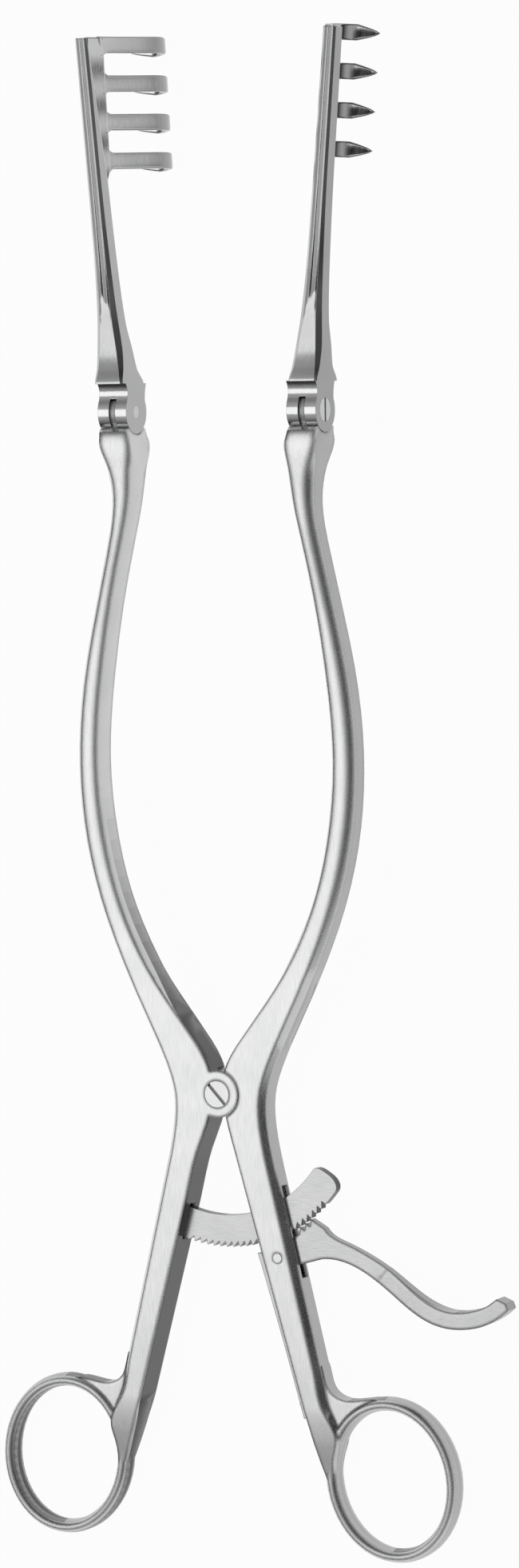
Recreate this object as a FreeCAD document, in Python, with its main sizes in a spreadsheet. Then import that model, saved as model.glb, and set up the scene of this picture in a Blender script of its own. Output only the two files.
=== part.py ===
import FreeCAD, Part
import math
import os
import Sketcher

# Self retaining retractor with hinged blade arms, lap joint, ratchet and sprung release lever.
# Frame in millimetres: the pivot axis is Z, the back faces of both handle arms lie at Z = 0,
# +Y runs along the instrument to the blades and +Z looks at the side with the screw slot.

doc = FreeCAD.newDocument("retractor")
sheet = doc.addObject("Spreadsheet::Sheet", "Sizes")

SIZES = [
    ("arm_thickness", 7.4, "depth of both forged handle arms"),
    ("lap_gap", 0.04, "gap between the two half laps"),
    ("lug_radius", 4.87, "round lug of each half lap"),
    ("lug_clearance", 0.12, "room round a lug in the other arm"),
    ("pivot_screw_radius", 1.6, "plain shank of the pivot screw"),
    ("pivot_head_radius", 2.75, "head of the pivot screw"),
    ("pivot_head_height", 1.3, "height of that head"),
    ("running_clearance", 0.03, "radial play of a pin in a turning piece"),
    ("hinge_reach", 140.0, "pivot axis to blade hinge axis along the instrument"),
    ("hinge_offset", 21.6, "middle line to the middle of a blade hinge"),
    ("knuckle_radius", 4.5, "round end of the blade fork"),
    ("knuckle_width", 6.6, "width of a blade hinge"),
    ("tongue_width", 1.4, "tongue of the handle arm in the fork"),
    ("tongue_play", 0.03, "side play of the tongue"),
    ("seat_clearance", 0.25, "gap between fork and handle arm shoulder"),
    ("hinge_screw_radius", 1.2, "shank of a hinge screw"),
    ("hinge_head_radius", 2.4, "head of a hinge screw"),
    ("hinge_head_height", 0.9, "height of that head"),
    ("shoulder_half_depth", 5.0, "half depth of both arms beside the hinge"),
    ("blade_reach", 77.1, "hinge axis to the end of a blade"),
    ("blade_lean", 6.8, "sideways lean of a blade over its reach"),
    ("bar_width", 2.8, "width of the bar at the end of a blade"),
    ("bar_depth", 3.8, "depth of that bar"),
    ("bar_top", 7.0, "front face of that bar above the back of the handle arms"),
    ("comb_thickness", 1.5, "plate of the comb"),
    ("comb_depth", 4.2, "slant depth of the closed part of the comb"),
    ("comb_slope", 65.0, "angle of the comb below the instrument's plane"),
    ("prong_width", 3.2, "width of a prong"),
    ("prong_pitch", 7.93, "prong to prong"),
    ("prong_count", 4.0, "prongs on each blade"),
    ("prong_straight", 17.5, "straight slanted length of a prong"),
    ("hook_radius", 6.0, "inner side of a prong's hook"),
    ("hook_turn", 125.0, "angle through which the hook turns"),
    ("tip_length", 6.5, "length of the sharpened tip"),
    ("ring_offset", 37.65, "middle line to the centre of a finger ring"),
    ("ring_drop", 77.75, "centre of a finger ring below the pivot"),
    ("ring_tilt", 9.0, "lean of a finger ring along its shank in degrees"),
    ("ring_half_width", 13.45, "ring centre line, half width"),
    ("ring_half_length", 15.65, "ring centre line, half length"),
    ("ring_section_width", 2.8, "ring wire seen from the front"),
    ("ring_section_depth", 5.6, "ring wire from front to back"),
    ("web_thickness", 3.8, "web between ring and shank"),
    ("ratchet_inner", 25.3, "inner radius of the ratchet bar"),
    ("ratchet_tip", 31.9, "radius over the ratchet teeth"),
    ("tooth_height", 1.1, "height of the ratchet teeth"),
    ("tooth_angle", 2.7, "pitch of the ratchet teeth in degrees"),
    ("ratchet_thickness", 2.0, "ratchet bar"),
    ("ratchet_start", 24.0, "ratchet bar starts this far left of straight down"),
    ("ratchet_end", 56.6, "free end of the ratchet bar, right of straight down"),
    ("teeth_end", 47.0, "last ratchet tooth, right of straight down"),
    ("slot_clearance", 0.2, "room for ratchet and lever in the right arm's slot"),
    ("socket_clearance", 0.05, "room for the ratchet bar's root in the left arm"),
    ("slot_top", 18.2, "top of the slot in the right shank below the pivot"),
    ("slot_bottom", 37.4, "bottom of that slot"),
    ("pin_radius", 0.95, "lever pin and ratchet pins"),
    ("lever_pin_x", 13.4, "lever pin across"),
    ("lever_pin_y", 33.15, "lever pin below the pivot"),
    ("lever_thickness", 2.0, "toothed head and root of the lever"),
    ("thumb_thickness", 5.0, "thumb piece of the lever"),
    ("mesh_gap", 0.12, "gap between lever teeth and ratchet teeth at rest"),
    ("spring_thickness", 0.9, "leaf spring"),
    ("spring_width", 4.6, "leaf spring from front to back"),
    ("spring_foot", 66.2, "lower end of the leaf spring below the pivot"),
    ("spring_screw_radius", 0.8, "shank of the leaf spring's screw"),
    ("spring_screw_depth", 2.6, "depth of that screw in the shank"),
    ("spring_head_radius", 1.5, "head of that screw"),
    ("spring_head_height", 0.7, "height of that head"),
    ("screw_slot", 0.7, "width of a screwdriver slot"),
]

for row, (name, value, meaning) in enumerate(SIZES, start=1):
    sheet.set(f"A{row}", name)
    sheet.set(f"B{row}", str(value))
    sheet.set(f"C{row}", meaning)
    sheet.setAlias(f"B{row}", name)
doc.recompute()

LEFT = -1
RIGHT = 1


def size(name):
    return float(sheet.get(name))


MID = size("arm_thickness") / 2


def origin_plane(body, role):
    for feature in body.Origin.OriginFeatures:
        if feature.Role == role:
            return feature
    raise ValueError(role)


def new_body(label):
    body = doc.addObject("PartDesign::Body", label)
    body.Label = label
    return body


def sketch_on(body, name, role, offset=0.0):
    """An empty sketch on one of the body's origin planes, moved along the plane's normal."""
    sketch = body.newObject("Sketcher::SketchObject", name)
    sketch.AttachmentSupport = (origin_plane(body, role), [""])
    sketch.MapMode = "FlatFace"
    sketch.AttachmentOffset = FreeCAD.Placement(FreeCAD.Vector(0, 0, offset), FreeCAD.Rotation())
    return sketch


def add_polygon(sketch, points):
    """A closed outline of straight lines."""
    first = sketch.GeometryCount
    corners = [FreeCAD.Vector(x, y, 0) for x, y in points]
    for start, end in zip(corners, corners[1:] + corners[:1]):
        sketch.addGeometry(Part.LineSegment(start, end), False)
    last = sketch.GeometryCount - 1
    for index in range(first, last):
        sketch.addConstraint(Sketcher.Constraint("Coincident", index, 2, index + 1, 1))
    sketch.addConstraint(Sketcher.Constraint("Coincident", last, 2, first, 1))


def add_curves(sketch, runs):
    """A closed outline of smooth runs, each through its own points and ending where the next starts."""
    for run in runs:
        points = [FreeCAD.Vector(x, y, 0) for x, y in run]
        if len(points) == 2:
            sketch.addGeometry(Part.LineSegment(points[0], points[1]), False)
            continue
        curve = Part.BSplineCurve()
        curve.interpolate(points)
        sketch.addGeometry(curve, False)


def add_circle(sketch, x, y, radius_name, extra=""):
    """A circle whose radius is bound to a named size."""
    circle = Part.Circle(FreeCAD.Vector(x, y, 0), FreeCAD.Vector(0, 0, 1), size(radius_name))
    index = sketch.addGeometry(circle, False)
    radius = sketch.addConstraint(Sketcher.Constraint("Radius", index, size(radius_name)))
    sketch.setExpression(f"Constraints[{radius}]", f"Sizes.{radius_name}{extra}")
    return index


def pad(body, name, sketch, length, midplane=False, backwards=False):
    feature = body.newObject("PartDesign::Pad", name)
    feature.Profile = sketch
    if isinstance(length, str):
        feature.setExpression("Length", length)
    else:
        feature.Length = length
    feature.Midplane = midplane
    feature.Reversed = backwards
    feature.Refine = False
    return feature


def pocket(body, name, sketch, length=None, midplane=False, backwards=False):
    """A cut against the sketch's normal, or along it when backwards; through everything without a length."""
    feature = body.newObject("PartDesign::Pocket", name)
    feature.Profile = sketch
    feature.Refine = False
    feature.Midplane = midplane
    feature.Reversed = backwards
    if length is None:
        feature.Type = "ThroughAll"
    elif isinstance(length, str):
        feature.setExpression("Length", length)
    else:
        feature.Length = length
    return feature


def section(side, outer, inner, middle, half_depth, outer_bevel, inner_bevel):
    """Eight-cornered section of a forged arm in X and Z; a bevel is its width and its depth."""
    top = middle + half_depth
    bottom = middle - half_depth
    outer_x, outer_z = outer_bevel
    inner_x, inner_z = inner_bevel
    points = [
        (inner + inner_x, top), (outer - outer_x, top),
        (outer, top - outer_z), (outer, bottom + outer_z),
        (outer - outer_x, bottom), (inner + inner_x, bottom),
        (inner, bottom + inner_z), (inner, top - inner_z),
    ]
    return [(side * x, z) for x, z in points]


def smooth_slopes(places, values):
    """Slopes of the cubic curve with no jumps in curvature through all values."""
    gaps = [after - before for before, after in zip(places, places[1:])]
    rises = [(after - before) / gap for before, after, gap in zip(values, values[1:], gaps)]
    count = len(places)
    diagonal = [2.0 / gaps[0]] + [2.0 / a + 2.0 / b for a, b in zip(gaps, gaps[1:])] + [2.0 / gaps[-1]]
    right = [3 * rises[0] / gaps[0]]
    right += [3 * (a / g + b / h) for a, b, g, h in zip(rises, rises[1:], gaps, gaps[1:])]
    right.append(3 * rises[-1] / gaps[-1])
    for row in range(1, count):
        factor = 1.0 / gaps[row - 1] / diagonal[row - 1]
        diagonal[row] -= factor / gaps[row - 1]
        right[row] -= factor * right[row - 1]
    slopes = [0.0] * count
    slopes[-1] = right[-1] / diagonal[-1]
    for row in range(count - 2, -1, -1):
        slopes[row] = (right[row] - slopes[row + 1] / gaps[row]) / diagonal[row]
    for row in range(1, count - 1):
        if abs(rises[row] - rises[row - 1]) < 0.005:
            slopes[row] = (rises[row] + rises[row - 1]) / 2
    return slopes


def level_slopes(places, values):
    """Slopes that never overshoot, so a stretch of equal values stays flat."""
    rises = [(b - a) / (q - p) for a, b, p, q in zip(values, values[1:], places, places[1:])]
    slopes = [0.0]
    for before, after in zip(rises, rises[1:]):
        slopes.append(2 * before * after / (before + after) if before * after > 1e-12 else 0.0)
    return slopes + [0.0]


def forging(body, stations, cuts=()):
    """A solid whose long edges are smooth curves through the corners of (y, corner points) stations.
    It is made in stretches that meet at the stations numbered in cuts."""
    way = 1 if stations[-1][0] > stations[0][0] else -1
    places = [way * (y - stations[0][0]) for y, points in stations]
    rails = []
    for corner in range(len(stations[0][1])):
        across = [points[corner][0] for y, points in stations]
        upward = [points[corner][1] for y, points in stations]
        rails.append([
            (FreeCAD.Vector(x, station[0], z), FreeCAD.Vector(x_slope, way, z_slope))
            for station, x, z, x_slope, z_slope in zip(
                stations, across, upward, smooth_slopes(places, across), level_slopes(places, upward))])
    borders = [0, *cuts, len(stations) - 1]
    blanks = []
    for index, (first, last) in enumerate(zip(borders, borders[1:])):
        blank = doc.addObject("Part::Feature", f"{body.Label}_blank_{index + 1}")
        blank.Shape = skin([rail[first:last + 1] for rail in rails], places[first:last + 1])
        blank.Placement = FreeCAD.Placement()
        blanks.append(blank)
    if len(blanks) > 1:
        whole = doc.addObject("Part::MultiFuse", f"{body.Label}_blank")
        whole.Shapes = blanks
        blanks = [whole]
    doc.recompute()
    body.BaseFeature = blanks[0]


def rail_curve(rail, places):
    """A cubic curve through the points of a rail with the slopes given there."""
    poles = [rail[0][0]]
    for (start, start_slope), (end, end_slope), a, b in zip(rail, rail[1:], places, places[1:]):
        poles += [start + start_slope * ((b - a) / 3), end - end_slope * ((b - a) / 3)]
    poles.append(rail[-1][0])
    curve = Part.BSplineCurve()
    curve.buildFromPolesMultsKnots(poles, [4] + [2] * (len(places) - 2) + [4], list(places), False, 3)
    return curve.toShape()


def skin(rails, places):
    """Faces between neighbouring long edges, closed by a flat face at each end."""
    edges = [rail_curve(rail, places) for rail in rails]
    faces = []
    for edge, other in zip(edges, edges[1:] + edges[:1]):
        a, b = edge.Vertexes[0].Point, edge.Vertexes[-1].Point
        d, c = other.Vertexes[0].Point, other.Vertexes[-1].Point
        depth = edge.BoundBox.ZLength + other.BoundBox.ZLength + abs(a.z - c.z)
        if depth < 1e-4:
            faces.append(Part.Face(Part.Wire([edge, Part.makeLine(b, c), other, Part.makeLine(d, a)])))
        else:
            faces.append(Part.makeRuledSurface(edge, other))
    for end in (0, -1):
        corners = [rail[end][0] for rail in rails]
        faces.append(Part.Face(Part.makePolygon(corners + corners[:1])))
    shell = Part.makeShell(faces)
    shell.sewShape(1e-5)
    solid = Part.makeSolid(Part.Shell(shell.Faces))
    if solid.Volume < 0:
        solid.reverse()
    return solid


SHARP = (0.25, 0.25)
ROUND_OUTER = (1.3, 1.8)
ROUND_INNER = (1.0, 1.6)

# Bow of a handle arm: share of the way from pivot to hinge shoulder, bulge of the centre line
# beyond the straight line between them, width, half depth.
BOW = [
    (0.977, 0.10, 7.1, 5.0),
    (0.936, 0.45, 6.0, 4.4),
    (0.892, 1.40, 4.8, 3.8),
    (0.827, 4.40, 4.25, 3.6),
    (0.739, 9.00, 4.4, 3.6),
    (0.629, 14.15, 5.1, 3.65),
    (0.505, 18.25, 5.3, 3.65),
    (0.380, 19.45, 5.55, 3.7),
    (0.278, 17.95, 5.85, 3.7),
    (0.190, 14.55, 6.9, 3.7),
    (0.1075, 10.00, 8.8, 3.7),
]

# Shank beside the pivot: distance below the pivot, outer edge, inner edge.
NECK = [(-5.5, 12.4, 1.9), (0.0, 10.8, 1.2), (5.0, 10.7, 2.0)]

# Straight stretch of the shank, from first to last drop below the pivot, with the outer edge at both
# ends and each arm's inner edge at both ends.
STRAIGHT_DROPS = (12.0, 23.0, 35.0, 46.0, 56.0, 64.0)
SHANK_OUTER = (11.8, 24.35)
SHANK_INNER = {LEFT: (4.7, 18.75), RIGHT: (3.9, 18.75)}

# Run of the shank into the ring's wire: place on the ring in degrees, reach beyond the wire's centre
# line to the hole and to the shank's inner side, half depth.
RING_JOIN = [(142, 0.75, 5.3, 3.5), (158, 1.2, 2.8, 3.1), (173, 1.15, 1.2, 2.5), (193, 0.6, 0.6, 1.8)]


def rim_drop():
    return 3.3


def arm_loft(body, side):
    """The forged arm from the hinge shoulder through the bow and the pivot down to the ring."""
    top = size("hinge_reach") - rim_drop()
    hinge = size("hinge_offset")
    half = size("knuckle_width") / 2
    shoulder = size("shoulder_half_depth")
    rim_edge = (0.4, 1.3)
    shoulder_edge = (0.5, 0.6)
    stations = [(top, section(side, hinge + half, hinge - half, MID, shoulder - 0.4, rim_edge, rim_edge))]
    for share, bulge, width, half_depth in BOW:
        centre = hinge * share + bulge
        near_hinge = share > 0.95
        stations.append((top * share, section(
            side, centre + width / 2, centre - width / 2, MID, min(half_depth, shoulder),
            shoulder_edge if near_hinge else ROUND_OUTER, shoulder_edge if near_hinge else ROUND_INNER)))
    stations[-1] = (top * share, section(
        side, centre + width / 2, centre - width / 2, MID, MID, ROUND_OUTER, SHARP))
    bow_end = len(stations) - 1
    straight = [(drop, shank_outer(drop), shank_inner(side, drop)) for drop in STRAIGHT_DROPS]
    for drop, outer, inner in NECK + straight:
        stations.append((-drop, section(side, outer, inner, MID, MID, ROUND_OUTER, SHARP)))
    shank_end = len(stations) - 1
    for angle, to_hole, to_side, half_depth in RING_JOIN:
        x, y = ring_point(angle)
        stations.append((y, section(side, x + to_hole, x - to_side, MID, half_depth, (0.5, 1.2), (0.4, 1.0))))
    forging(body, stations, (bow_end, shank_end))


def shank_share(drop):
    return (drop - STRAIGHT_DROPS[0]) / (STRAIGHT_DROPS[-1] - STRAIGHT_DROPS[0])


def shank_outer(drop):
    """Distance of the straight shank's outer edge from the middle line, at a drop below the pivot."""
    first, last = SHANK_OUTER
    return first + (last - first) * shank_share(drop)


def shank_inner(side, drop):
    first, last = SHANK_INNER[side]
    return first + (last - first) * shank_share(drop)


def ring_point(angle):
    """A point on a finger ring's centre line, as a distance from the middle line and a height."""
    tilt = math.radians(size("ring_tilt"))
    x = size("ring_half_width") * math.cos(math.radians(angle))
    y = size("ring_half_length") * math.sin(math.radians(angle))
    return (size("ring_offset") + x * math.cos(tilt) - y * math.sin(tilt),
            x * math.sin(tilt) + y * math.cos(tilt) - size("ring_drop"))


def web_top():
    """Top edge of the web: over the ring first, then up along the shank's outer edge."""
    crown = size("ring_drop") - size("ring_half_length")
    over_ring = [
        (size("ring_offset") - share * size("ring_half_width"), crown + sink)
        for share, sink in ((0.12, -0.6), (0.43, -0.6), (0.725, -0.1), (0.865, -0.5))]
    along_shank = [
        (shank_outer(crown + sink) + gap, crown + sink) for sink, gap in ((-1.9, 0.6), (-4.3, 0.2), (-7.0, 0.15))]
    return over_ring + along_shank


def ring_web(body, side):
    """The web that fills the corner between ring and shank."""
    web = sketch_on(body, "Web_outline", "XY_Plane", MID)
    top_edge = [(side * x, -drop) for x, drop in web_top()]
    root_x, root_drop = web_top()[-1]
    shank_end = (side * (root_x - 2.5), -root_drop)
    under = [(side * x, y) for x, y in (ring_point(angle) for angle in (162, 150, 135, 120, 105, 88))]
    add_curves(web, [top_edge, [top_edge[-1], shank_end], [shank_end, under[0]], under, [under[-1], top_edge[0]]])
    pad(body, "Web", web, "Sizes.web_thickness", midplane=True)


def finger_ring(body, side):
    """An oval ring swept from a rounded section."""
    tilt = math.radians(size("ring_tilt"))
    half_width = size("ring_half_width")
    half_length = size("ring_half_length")
    centre = FreeCAD.Vector(side * size("ring_offset"), -size("ring_drop"), 0)
    along = FreeCAD.Vector(-side * math.sin(tilt), math.cos(tilt), 0)
    across = FreeCAD.Vector(math.cos(tilt), side * math.sin(tilt), 0)
    path = sketch_on(body, "Ring_path", "XY_Plane", MID)
    path.addGeometry(Part.Ellipse(centre + along * half_length, centre + across * half_width, centre), False)
    start = centre + along * half_length
    wire = sketch_on(body, "Ring_section", "YZ_Plane")
    wire.AttachmentOffset = FreeCAD.Placement(
        FreeCAD.Vector(start.y, MID, start.x),
        FreeCAD.Rotation(FreeCAD.Vector(0, 1, 0), side * size("ring_tilt")))
    corners = 12
    turns = [2 * math.pi * (corner + 0.5) / corners for corner in range(corners)]
    add_polygon(wire, [(size("ring_section_width") / 2 * math.cos(turn),
                        size("ring_section_depth") / 2 * math.sin(turn)) for turn in turns])
    ring = body.newObject("PartDesign::AdditivePipe", "Ring")
    ring.Profile = wire
    ring.Spine = path


def half_lap(body, side):
    """The round lug in one half of the thickness and the recess for the other arm's lug."""
    lap = MID - size("lap_gap") / 2
    lug = sketch_on(body, "Lug_outline", "XY_Plane", MID + size("lap_gap") / 2 if side == LEFT else 0.0)
    add_circle(lug, 0, 0, "lug_radius")
    pad(body, "Lug", lug, lap)
    recess = sketch_on(body, "Recess_outline", "XY_Plane", MID - side * size("lap_gap") / 2)
    add_circle(recess, 0, 0, "lug_radius", " + Sizes.lug_clearance")
    pocket(body, "Recess", recess, backwards=side == RIGHT)


def pivot_holes(body, side):
    bore = sketch_on(body, "Pivot_bore_outline", "XY_Plane", size("arm_thickness"))
    add_circle(bore, 0, 0, "pivot_screw_radius", " + Sizes.running_clearance" if side == LEFT else "")
    pocket(body, "Pivot_bore", bore)
    if side == LEFT:
        head = sketch_on(body, "Pivot_head_outline", "XY_Plane", size("arm_thickness"))
        add_circle(head, 0, 0, "pivot_head_radius", " + Sizes.running_clearance")
        pocket(body, "Pivot_counterbore", head, "Sizes.pivot_head_height + Sizes.running_clearance")


def hinge_tongue(body, side):
    """Concave seats for the fork, and the tongue with its bore between them."""
    reach = size("hinge_reach")
    hinge = side * size("hinge_offset")
    seat = sketch_on(body, "Seat_outline", "YZ_Plane", hinge)
    add_circle(seat, reach, MID, "knuckle_radius", " + Sizes.seat_clearance")
    pocket(body, "Seat", seat, "Sizes.knuckle_width + 6", midplane=True)
    tongue = sketch_on(body, "Tongue_outline", "YZ_Plane", hinge)
    radius = size("knuckle_radius") - 0.3
    root = reach - rim_drop() - 2.5
    wrap = math.radians(130)
    tongue.addGeometry(Part.ArcOfCircle(
        Part.Circle(FreeCAD.Vector(reach, MID, 0), FreeCAD.Vector(0, 0, 1), radius), -wrap, wrap), False)
    neck = reach + radius * math.cos(wrap)
    half_neck = radius * math.sin(wrap)
    add_curves(tongue, [[(neck, MID + half_neck), (root, MID + half_neck)],
                        [(root, MID + half_neck), (root, MID - half_neck)],
                        [(root, MID - half_neck), (neck, MID - half_neck)]])
    pad(body, "Tongue", tongue, "Sizes.tongue_width", midplane=True)
    bore = sketch_on(body, "Tongue_bore_outline", "YZ_Plane", hinge)
    add_circle(bore, reach, MID, "hinge_screw_radius", " + Sizes.running_clearance")
    pocket(body, "Tongue_bore", bore, "Sizes.tongue_width + 1", midplane=True)


def ratchet_socket(body):
    """Blind slot in the left shank's inner face that holds the root of the ratchet bar."""
    width = size("ratchet_thickness") + 2 * size("socket_clearance")
    outline = sketch_on(body, "Socket_outline", "XY_Plane", MID)
    add_polygon(outline, sector(size("ratchet_inner") - 0.6, size("ratchet_tip") + 0.6,
                                -size("ratchet_start") - 1.0, 20.0))
    pocket(body, "Socket", outline, width, midplane=True)


def sector(inner, outer, start, end, steps=12):
    """Corners of a ring sector about the pivot; angles in degrees from straight down to the right."""
    angles = [start + (end - start) * step / steps for step in range(steps + 1)]
    return [polar(outer, angle) for angle in angles] + [polar(inner, angle) for angle in reversed(angles)]


def ratchet_pin_places():
    radius = (size("ratchet_inner") + size("ratchet_tip")) / 2
    return [polar(radius + shift, 2.6 - size("ratchet_start")) for shift in (-1.7, 1.3)]


def left_handle_arm():
    body = new_body("left_handle_arm")
    arm_loft(body, LEFT)
    ring_web(body, LEFT)
    finger_ring(body, LEFT)
    half_lap(body, LEFT)
    pivot_holes(body, LEFT)
    hinge_tongue(body, LEFT)
    ratchet_socket(body)
    pins = sketch_on(body, "Ratchet_pin_holes_outline", "XY_Plane", 0.0)
    for x, y in ratchet_pin_places():
        add_circle(pins, x, y, "pin_radius")
    pocket(body, "Ratchet_pin_holes", pins, MID + size("ratchet_thickness") / 2 + 1.0, backwards=True)
    return body


def right_handle_arm():
    body = new_body("right_handle_arm")
    arm_loft(body, RIGHT)
    ring_web(body, RIGHT)
    finger_ring(body, RIGHT)
    half_lap(body, RIGHT)
    pivot_holes(body, RIGHT)
    hinge_tongue(body, RIGHT)
    top = size("slot_top")
    bottom = size("slot_bottom")
    slot = sketch_on(body, "Slot_outline", "XY_Plane", MID)
    add_polygon(slot, [
        (shank_inner(RIGHT, top + 1.5) - 4.0, -top - 1.5), (shank_outer(top) + 4.0, -top),
        (shank_outer(bottom) + 4.0, -bottom), (shank_inner(RIGHT, bottom) - 4.0, -bottom)])
    pocket(body, "Slot", slot, size("ratchet_thickness") + 2 * size("slot_clearance"), midplane=True)
    pin = sketch_on(body, "Lever_pin_hole_outline", "XY_Plane", size("arm_thickness"))
    add_circle(pin, size("lever_pin_x"), -size("lever_pin_y"), "pin_radius")
    pocket(body, "Lever_pin_hole", pin)
    screw_hole(body, "spring_screw_radius")
    return body


def pivot_screw():
    body = new_body("pivot_screw")
    profile = sketch_on(body, "Profile", "XZ_Plane")
    top = size("arm_thickness")
    under = top - size("pivot_head_height")
    shank = size("pivot_screw_radius")
    head = size("pivot_head_radius")
    add_polygon(profile, [(0, 0), (shank, 0), (shank, under), (head, under), (head, top), (0, top)])
    screw = body.newObject("PartDesign::Revolution", "Screw")
    screw.Profile = profile
    screw.ReferenceAxis = (profile, ["V_Axis"])
    screw.Angle = 360
    slot = sketch_on(body, "Slot_outline", "XY_Plane", top)
    turn = math.radians(-47)
    long_half = head + 0.5
    wide_half = size("screw_slot") / 2
    corners = [(-long_half, -wide_half), (long_half, -wide_half), (long_half, wide_half), (-long_half, wide_half)]
    add_polygon(slot, [(x * math.cos(turn) - y * math.sin(turn), x * math.sin(turn) + y * math.cos(turn))
                       for x, y in corners])
    pocket(body, "Slot", slot, 0.7)
    return body


def blade_centre(rise):
    """Middle of a blade arm's outer and inner edge, at a rise above the hinge axis."""
    return size("hinge_offset") + size("blade_lean") * rise / size("blade_reach")


# Blade arm: rise above the hinge axis, width, front face, back face, bevel.
def blade_rows():
    reach = size("blade_reach")
    shoulder = size("shoulder_half_depth")
    bar_top = size("bar_top")
    bar_bottom = bar_top - size("bar_depth")
    width = size("bar_width")
    return [
        (5.8, 6.5, MID + shoulder, MID - shoulder, 0.45),
        (9.0, 6.2, MID + shoulder - 0.8, MID - shoulder + 1.8, 0.8),
        (13.0, 5.8, MID + shoulder - 1.3, MID - 2.6, 1.0),
        (18.0, 4.9, bar_top + 0.2, bar_bottom - 1.2, 1.0),
        (26.0, 4.0, bar_top, bar_bottom - 0.8, 0.8),
        (42.0, width + 0.45, bar_top, bar_bottom - 0.4, 0.6),
        (60.0, width + 0.15, bar_top, bar_bottom, 0.45),
        (reach, width, bar_top, bar_bottom, 0.4),
    ]


def fluted_section(side, outer, inner, front, back, bevel, flute):
    """Section of a blade arm: bevelled corners and a front face with two long flutes."""
    middle = (outer + inner) / 2
    step = (outer - inner) / 2 - bevel
    points = [
        (inner + bevel, front), (middle - step * 0.55, front - flute), (middle, front - flute * 0.15),
        (middle + step * 0.55, front - flute), (outer - bevel, front), (outer, front - bevel),
        (outer, back + bevel), (outer - bevel, back), (inner + bevel, back), (inner, back + bevel),
        (inner, front - bevel),
    ]
    return [(side * x, z) for x, z in points]


def blade_loft(body, side):
    stations = []
    for rise, width, front, back, bevel in blade_rows():
        centre = blade_centre(rise)
        flute = 0.3 * min(max(rise - 15.0, 0.0) / 12.0, 1.0) + 0.02
        stations.append((size("hinge_reach") + rise, fluted_section(
            side, centre + width / 2, centre - width / 2, front, back, bevel, flute)))
    forging(body, stations)


def blade_fork(body, side):
    """Two round ears that carry the blade arm on the handle arm's tongue."""
    reach = size("hinge_reach")
    hinge = side * size("hinge_offset")
    radius = size("knuckle_radius")
    shoulder = size("shoulder_half_depth")
    ears = sketch_on(body, "Ears_outline", "YZ_Plane", hinge)
    ears.addGeometry(Part.ArcOfCircle(
        Part.Circle(FreeCAD.Vector(reach, MID, 0), FreeCAD.Vector(0, 0, 1), radius),
        math.radians(60), math.radians(300)), False)
    touch_y = reach + radius * math.cos(math.radians(60))
    touch_z = radius * math.sin(math.radians(60))
    front = [(touch_y, MID + touch_z), (reach + 4.2, MID + 3.6), (reach + 5.9, MID + shoulder - 0.5)]
    back = [(reach + 5.9, MID - shoulder + 0.5), (reach + 4.2, MID - 4.0), (touch_y, MID - touch_z)]
    add_curves(ears, [front, [front[-1], back[0]], back])
    pad(body, "Ears", ears, "Sizes.knuckle_width", midplane=True)
    gap = sketch_on(body, "Fork_gap_outline", "YZ_Plane", hinge)
    add_circle(gap, reach, MID, "knuckle_radius", " + 0.1")
    pocket(body, "Fork_gap", gap, "Sizes.tongue_width + 2 * Sizes.tongue_play", midplane=True)
    bore = sketch_on(body, "Hinge_bore_outline", "YZ_Plane", hinge)
    add_circle(bore, reach, MID, "hinge_screw_radius")
    pocket(body, "Hinge_bore", bore, midplane=True)
    head = sketch_on(body, "Hinge_head_outline", "YZ_Plane", side * (size("hinge_offset") + size("knuckle_width") / 2))
    add_circle(head, reach, MID, "hinge_head_radius")
    pocket(body, "Hinge_counterbore", head, "Sizes.hinge_head_height", backwards=side == LEFT)


def prong_outline(side):
    """Comb plate and hooked prong in X and Z, as a band that thins to the tip.
    u runs inward from the bar's inner edge and w runs down from its front face."""
    slope = math.radians(size("comb_slope"))
    straight = size("prong_straight")
    radius = size("hook_radius")
    plate = size("comb_thickness")
    turn = math.radians(size("hook_turn"))
    down = (math.cos(slope), math.sin(slope))
    inward = (math.sin(slope), -math.cos(slope))
    end = (down[0] * straight, down[1] * straight)
    centre = (end[0] - inward[0] * radius, end[1] - inward[1] * radius)

    def on_arc(distance, angle):
        start = math.atan2(inward[1], inward[0])
        return (centre[0] + distance * math.cos(start + angle), centre[1] + distance * math.sin(start + angle))

    thin = plate * 0.45
    steps = 6
    inner_arc = [on_arc(radius, turn * step / steps) for step in range(steps + 1)]
    outer_arc = [on_arc(radius - plate + (plate - thin) * step / steps, turn * step / steps)
                 for step in range(steps, -1, -1)]
    heading = math.atan2(inward[1], inward[0]) + turn + math.pi / 2
    length = size("tip_length") * 0.5
    tip = (inner_arc[-1][0] + length * math.cos(heading), inner_arc[-1][1] + length * math.sin(heading))
    top_inner = (0.0, 0.0)
    top_outer = (-inward[0] * plate, -inward[1] * plate)
    runs = [[top_inner, end], inner_arc, [inner_arc[-1], tip], [tip, outer_arc[0]], outer_arc,
            [outer_arc[-1], top_outer], [top_outer, top_inner]]
    return runs


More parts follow.
